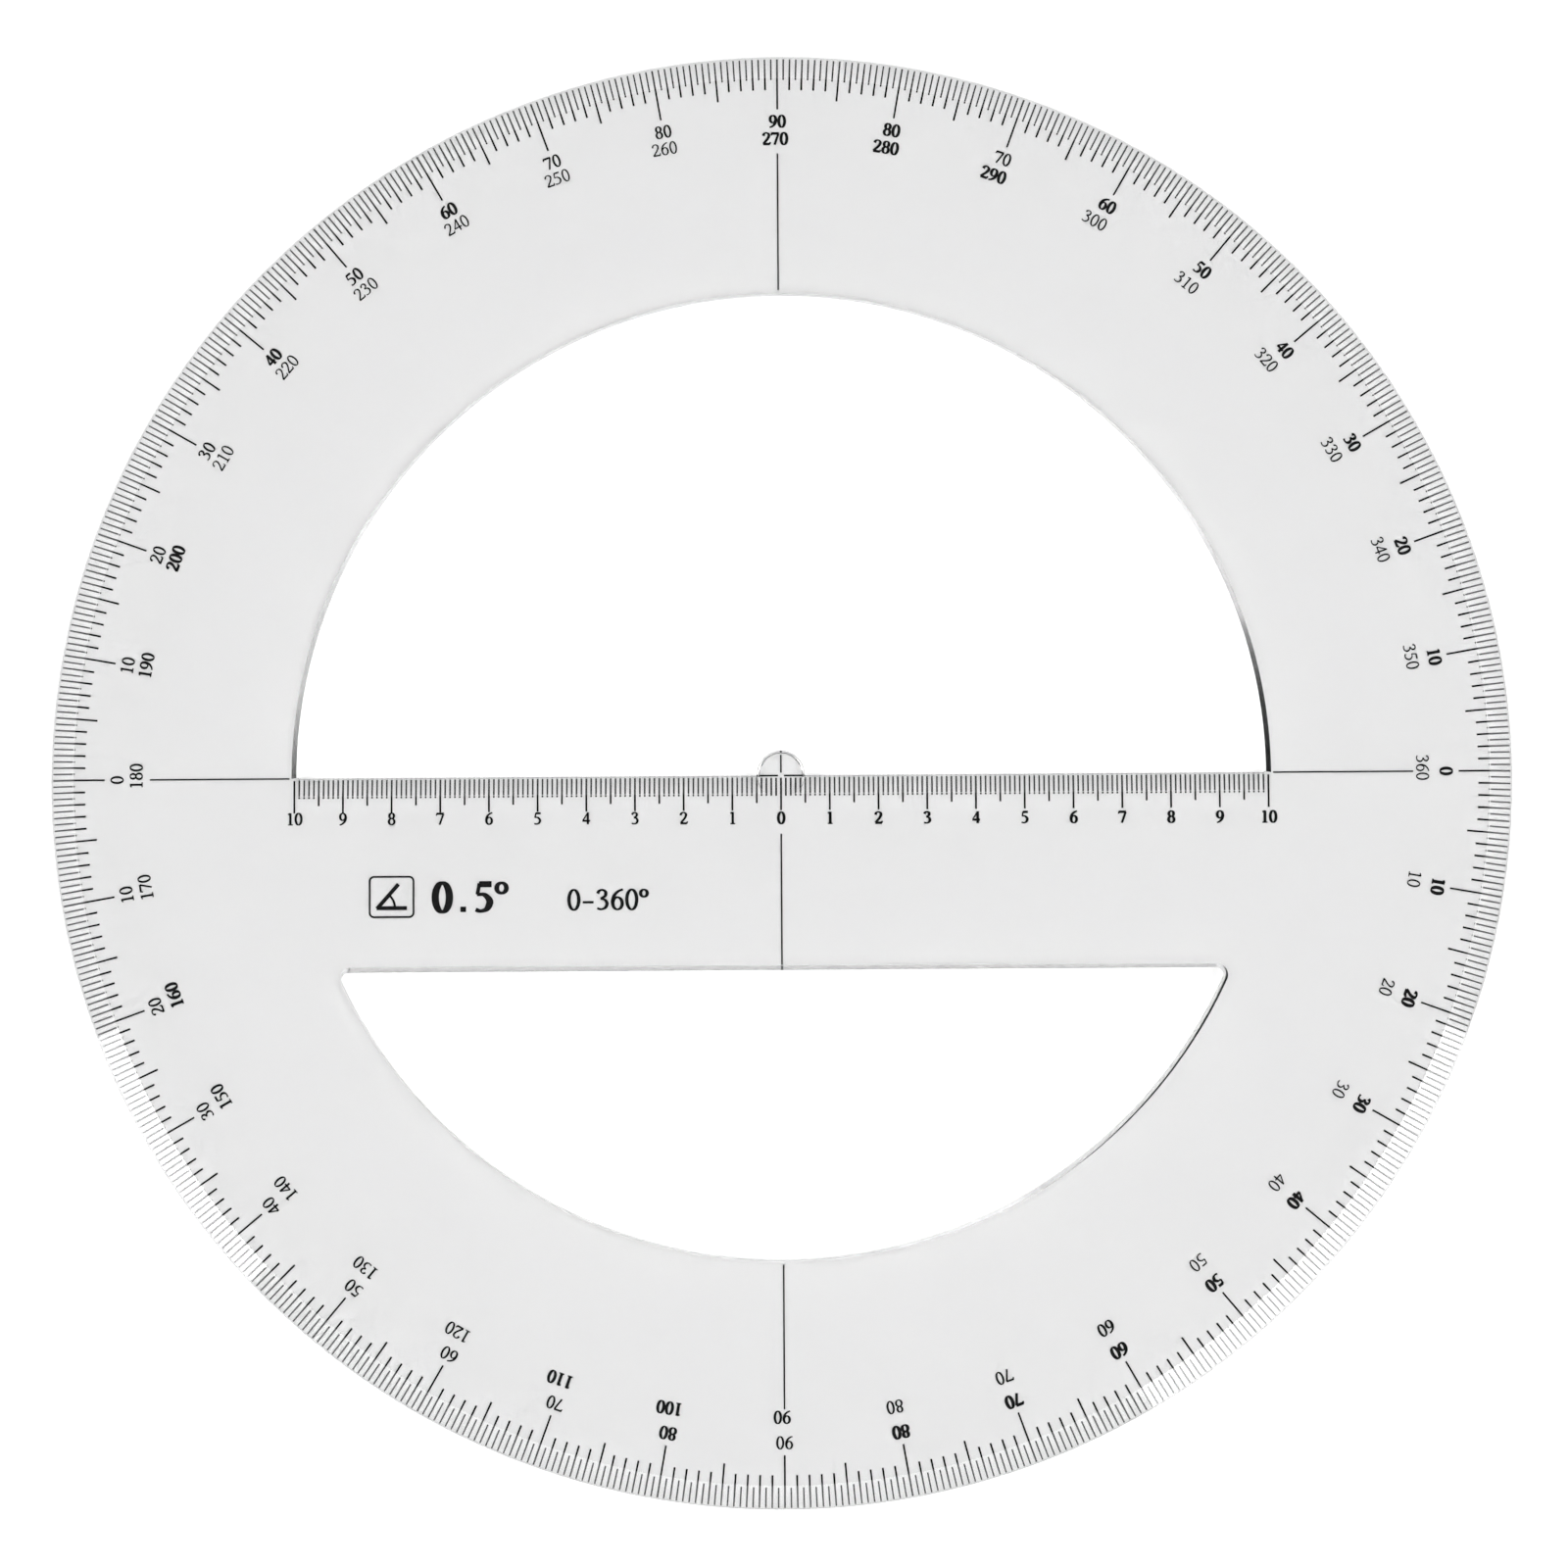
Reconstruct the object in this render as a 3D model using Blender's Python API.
"""A full-circle protractor: a clear acrylic plate with ink-filled graduations.

The frame's origin is the crosshair point on the plate's underside. +X points to the right-hand zero,
+Y to the ninety above it, and +Z up through the plate. Dimensions below are in millimetres.
"""

import math

import bmesh
import bpy
from mathutils import Matrix

MM = 0.001

# Plate
PLATE_RADIUS = 150.0
THICKNESS = 3.0
RIM_BEVEL_WIDTH = 4.8
RIM_EDGE_HEIGHT = 1.0
PLATE_SEGMENTS = 180

# Windows: two parts of one circle, above and below the ruler band, whose walls lean back to the underside
WINDOW_RADIUS = 99.35
UPPER_WINDOW_LEAN = 1.25
LOWER_WINDOW_LEAN = 0.65
RULER_WIDTH = 40.3
CHORD_LEAN = 1.1
RULER_BEVEL_WIDTH = 4.0
RULER_BEVEL_REACH = 99.0
RULER_EDGE_HEIGHT = 1.0

# Tab with the crosshair, full thickness, standing out from the ruler edge; its wall leans back as well
TAB_RADIUS = 5.0
TAB_LEAN = 0.4
TAB_SEGMENTS = 48

# Ink lies in shallow grooves in the underside
GROOVE_DEPTH = 0.12
INK_DEPTH = 0.10
INK_CLEARANCE = 0.01

# Graduations
DEGREE_STEP = 10
DEGREE_INNER_RADIUS = 139.0
DEGREE_OUTER_RADIUS = 149.5
DEGREE_LINE_WIDTH = 0.35
AXIS_INNER_RADIUS = 101.0
BOTTOM_AXIS_INNER_RADIUS = 100.3
AXIS_OUTER_RADIUS = 129.7
AXIS_LINE_WIDTH = 0.30
MIDDLE_LINE_TOP = -12.0
MIDDLE_LINE_FOOT = -39.0
CENTIMETRE_MARKS = (-100, -50, 0, 50, 100)
CENTIMETRE_MARK_TOP = -0.45
CENTIMETRE_MARK_LENGTH = 6.7
CENTIMETRE_MARK_WIDTH = 0.36

# Crosshair strokes: two arms and a stem that leave the centre open
CROSS_WIDTH = 0.32
CROSS_GAP = 0.6
CROSS_ARM_END = 4.4
CROSS_STEM_END = 4.3

PAST = 2.0  # how far a cutter runs past the plate

CLEAR_ACRYLIC = ((0.90, 0.91, 0.92, 1.0), 0.04)
BLACK_INK = ((0.012, 0.012, 0.013, 1.0), 0.55)


def clear_scene():
    for existing in list(bpy.data.objects):
        bpy.data.objects.remove(existing, do_unlink=True)


def new_collection(name):
    collection = bpy.data.collections.new(name)
    bpy.context.scene.collection.children.link(collection)
    return collection


def new_material(name, look):
    colour, roughness = look
    material = bpy.data.materials.new(name)
    material.use_nodes = True
    shader = material.node_tree.nodes["Principled BSDF"]
    shader.inputs["Base Color"].default_value = colour
    shader.inputs["Roughness"].default_value = roughness
    shader.inputs["Metallic"].default_value = 0.0
    return material


def object_from_bmesh(name, bm, collection):
    bmesh.ops.recalc_face_normals(bm, faces=bm.faces[:])
    mesh = bpy.data.meshes.new(name)
    bm.to_mesh(mesh)
    bm.free()
    made = bpy.data.objects.new(name, mesh)
    collection.objects.link(made)
    return made


def stacked_rings(name, rings, segments, collection):
    """A solid of revolution about Z from its (radius, height) rings, lowest first, with flat ends."""
    bm = bmesh.new()
    radius, height = rings[0]
    base = Matrix.Translation((0, 0, height * MM))
    bmesh.ops.create_circle(bm, cap_ends=True, segments=segments, radius=radius * MM, matrix=base)
    edge = bm.edges[:]
    for next_radius, next_height in rings[1:]:
        raised = bmesh.ops.extrude_edge_only(bm, edges=edge)["geom"]
        edge = [element for element in raised if isinstance(element, bmesh.types.BMEdge)]
        ring = [element for element in raised if isinstance(element, bmesh.types.BMVert)]
        bmesh.ops.translate(bm, verts=ring, vec=(0, 0, (next_height - height) * MM))
        widen = next_radius / radius
        bmesh.ops.scale(bm, verts=ring, vec=(widen, widen, 1))
        radius, height = next_radius, next_height
    bmesh.ops.contextual_create(bm, geom=edge)
    return object_from_bmesh(name, bm, collection)


def ridge_along_x(name, outline, x_low, x_high, collection):
    """A prism along X from its (y, z) outline."""
    bm = bmesh.new()
    corners = [bm.verts.new((x_low * MM, y * MM, z * MM)) for y, z in outline]
    end = bm.faces.new(corners)
    swept = bmesh.ops.extrude_face_region(bm, geom=[end])["geom"]
    moved = [element for element in swept if isinstance(element, bmesh.types.BMVert)]
    bmesh.ops.translate(bm, verts=moved, vec=((x_high - x_low) * MM, 0, 0))
    return object_from_bmesh(name, bm, collection)


def bar(name, start, end, width, low, high, collection):
    """A straight bar on the underside from start to end, both (x, y), between two heights."""
    length = math.dist(start, end)
    bm = bmesh.new()
    bmesh.ops.create_cube(bm, size=MM)
    bmesh.ops.scale(bm, verts=bm.verts[:], vec=(length, width, high - low))
    made = object_from_bmesh(name, bm, collection)
    centre_x = (start[0] + end[0]) / 2
    centre_y = (start[1] + end[1]) / 2
    made.location = (centre_x * MM, centre_y * MM, (low + high) / 2 * MM)
    made.rotation_euler.z = math.atan2(end[1] - start[1], end[0] - start[0])
    return made


def on_circle(radius, degrees):
    return radius * math.cos(math.radians(degrees)), radius * math.sin(math.radians(degrees))


def hide(cutter):
    cutter.hide_render = True
    cutter.display_type = "WIRE"


def combine(target, operation, cutter):
    step = target.modifiers.new(f"{operation.lower()}_{cutter.name}", "BOOLEAN")
    step.operation = operation
    step.solver = "EXACT"
    step.object = cutter
    hide(cutter)


def subtract_all(target, collection):
    cut = target.modifiers.new("difference_" + collection.name, "BOOLEAN")
    cut.operation = "DIFFERENCE"
    cut.solver = "EXACT"
    cut.operand_type = "COLLECTION"
    cut.collection = collection


def leaning(top, lean, height):
    """Where a leaning wall stands at a height, from its place at the top and its lean over the thickness."""
    return top + lean * (THICKNESS - height) / THICKNESS


def window_cutter(name, lean, cutters):
    """The windows' circle, wider at the underside."""
    rings = [(leaning(WINDOW_RADIUS, lean, height), height) for height in (-PAST, THICKNESS + PAST)]
    return stacked_rings(name, rings, PLATE_SEGMENTS, cutters)


def below_ruler_edge(name, cutters):
    """Everything that stays solid below the straight edge at y = 0."""
    reach = WINDOW_RADIUS + 3 * PAST
    outline = [(0, -2 * PAST), (0, THICKNESS + 2 * PAST), (-reach, THICKNESS + 2 * PAST), (-reach, -2 * PAST)]
    return ridge_along_x(name, outline, -reach, reach, cutters)


def above_chord(name, cutters):
    """Everything that stays solid above the lower window's chord."""
    reach = WINDOW_RADIUS + 3 * PAST
    low, high = -2 * PAST, THICKNESS + 2 * PAST
    outline = [
        (leaning(-RULER_WIDTH, CHORD_LEAN, low), low),
        (reach, low),
        (reach, high),
        (leaning(-RULER_WIDTH, CHORD_LEAN, high), high),
    ]
    return ridge_along_x(name, outline, -reach, reach, cutters)


def ruler_bevel_wedge(name, cutters):
    """What is cut from the top face along the ruler edge, leaving a slope down to the thin edge."""
    slope = (THICKNESS - RULER_EDGE_HEIGHT) / RULER_BEVEL_WIDTH
    outline = [
        (PAST / 2, RULER_EDGE_HEIGHT - slope * PAST / 2),
        (-RULER_BEVEL_WIDTH - PAST, THICKNESS + slope * PAST),
        (PAST / 2, THICKNESS + slope * PAST),
    ]
    return ridge_along_x(name, outline, -RULER_BEVEL_REACH, RULER_BEVEL_REACH, cutters)


def tab_cone(name, cutters):
    """What stays solid of the tab, narrower at the underside."""
    heights = (-3 * PAST, THICKNESS + 3 * PAST)
    rings = [(leaning(TAB_RADIUS, -TAB_LEAN, height), height) for height in heights]
    return stacked_rings(name, rings, TAB_SEGMENTS, cutters)


def plate(parts, cutters, material):
    rings = [
        (PLATE_RADIUS, 0.0),
        (PLATE_RADIUS, RIM_EDGE_HEIGHT),
        (PLATE_RADIUS - RIM_BEVEL_WIDTH, THICKNESS),
    ]
    body = stacked_rings("plate", rings, PLATE_SEGMENTS, parts)
    body.data.materials.append(material)

    upper = window_cutter("upper_window", UPPER_WINDOW_LEAN, cutters)
    combine(upper, "DIFFERENCE", below_ruler_edge("ruler_side", cutters))
    combine(upper, "UNION", ruler_bevel_wedge("ruler_bevel", cutters))
    combine(upper, "DIFFERENCE", tab_cone("tab", cutters))
    lower = window_cutter("lower_window", LOWER_WINDOW_LEAN, cutters)
    combine(lower, "DIFFERENCE", above_chord("chord_side", cutters))
    combine(body, "DIFFERENCE", upper)
    combine(body, "DIFFERENCE", lower)
    return body


def ink_strokes():
    """Every modelled line as (name, start, end, width)."""
    strokes = []
    for degrees in range(0, 360, DEGREE_STEP):
        inner = on_circle(DEGREE_INNER_RADIUS, degrees)
        outer = on_circle(DEGREE_OUTER_RADIUS, degrees)
        strokes.append((f"degree_line_{degrees:03d}", inner, outer, DEGREE_LINE_WIDTH))
    for name, degrees in (("right", 0), ("top", 90), ("left", 180), ("bottom", 270)):
        inner_radius = BOTTOM_AXIS_INNER_RADIUS if name == "bottom" else AXIS_INNER_RADIUS
        inner = on_circle(inner_radius, degrees)
        outer = on_circle(AXIS_OUTER_RADIUS, degrees)
        strokes.append((f"axis_line_{name}", inner, outer, AXIS_LINE_WIDTH))
    strokes.append(("axis_line_middle", (0, MIDDLE_LINE_TOP), (0, MIDDLE_LINE_FOOT), AXIS_LINE_WIDTH))
    strokes.append(("crosshair_left", (-CROSS_GAP, 0), (-CROSS_ARM_END, 0), CROSS_WIDTH))
    strokes.append(("crosshair_right", (CROSS_GAP, 0), (CROSS_ARM_END, 0), CROSS_WIDTH))
    strokes.append(("crosshair_stem", (0, CROSS_GAP), (0, CROSS_STEM_END), CROSS_WIDTH))
    for x in CENTIMETRE_MARKS:
        top = (x, CENTIMETRE_MARK_TOP)
        foot = (x, CENTIMETRE_MARK_TOP - CENTIMETRE_MARK_LENGTH)
        side = "zero" if x == 0 else f"{'left' if x < 0 else 'right'}_{abs(x) // 10:02d}"
        strokes.append((f"ruler_line_{side}", top, foot, CENTIMETRE_MARK_WIDTH))
    return strokes


def groove_and_ink(stroke, parts, grooves, material):
    name, start, end, width = stroke
    length = math.dist(start, end)
    grow = INK_CLEARANCE / length
    longer = (
        tuple(a + (a - b) * grow for a, b in zip(start, end)),
        tuple(b + (b - a) * grow for a, b in zip(start, end)),
    )
    hide(bar("groove_" + name, *longer, width + 2 * INK_CLEARANCE, -PAST, GROOVE_DEPTH, grooves))
    ink_low = GROOVE_DEPTH - INK_CLEARANCE - INK_DEPTH
    ink = bar(name, start, end, width, ink_low, ink_low + INK_DEPTH, parts)
    ink.data.materials.append(material)


def main():
    clear_scene()
    parts = new_collection("protractor")
    cutters = new_collection("cutters")
    acrylic = new_material("clear_acrylic", CLEAR_ACRYLIC)
    ink = new_material("black_ink", BLACK_INK)
    body = plate(parts, cutters, acrylic)
    grooves = new_collection("grooves")
    for stroke in ink_strokes():
        groove_and_ink(stroke, parts, grooves, ink)
    subtract_all(body, grooves)


main()
